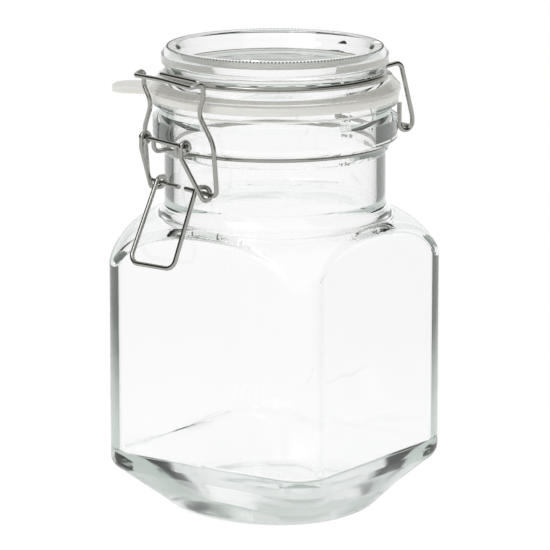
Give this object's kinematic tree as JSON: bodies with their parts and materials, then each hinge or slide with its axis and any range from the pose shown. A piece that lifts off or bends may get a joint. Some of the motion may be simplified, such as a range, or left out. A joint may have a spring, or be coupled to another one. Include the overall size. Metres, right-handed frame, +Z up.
{
  "type": "clip-top jar",
  "caption": "Square clear glass storage jar with rounded shoulders, round foot, glass clip-top lid, rubber gasket and steel wire over-centre clasp",
  "frame": {"origin": "centre of the face that the foot stands on", "axes": "+Z up; the clasp is at the front, toward -Y; the lid hinge is at the back, toward +Y; all pivots run along X"},
  "size_m": [0.1176, 0.1198, 0.1797],
  "materials": {
    "glass_body": "clear soda-lime glass, smooth",
    "glass_lid": "clear soda-lime glass, smooth, stippled rim",
    "gasket_rubber": "translucent white rubber, satin",
    "wire": "bright drawn steel wire"
  },
  "bodies": {
    "jar": {"jar_glass": "glass_body", "neck_wire": "wire"},
    "lid": {"lid_glass": "glass_lid", "gasket": "gasket_rubber", "lid_wire": "wire"},
    "lever": {"clasp_lever": "wire"},
    "bail": {"clasp_bail": "wire"}
  },
  "joints": [
    {"name": "lid_hinge", "type": "hinge", "parent": "jar", "child": "lid", "pos_m": [0, 0.0507, 0.1457], "axis": [-1, 0, 0], "range_deg": [0, 110]},
    {"name": "lever_hinge", "type": "hinge", "parent": "jar", "child": "lever", "pos_m": [0, -0.0514, 0.1474], "axis": [-1, 0, 0], "range_deg": [0, 110]},
    {"name": "bail_hinge", "type": "hinge", "parent": "lever", "child": "bail", "pos_m": [0, -0.0436, 0.1291], "axis": [-1, 0, 0], "range_deg": [-111, 0.5]}
  ],
  "couplings": [
    {"joint": "bail_hinge", "follows": "lever_hinge", "ratio": -1}
  ]
}
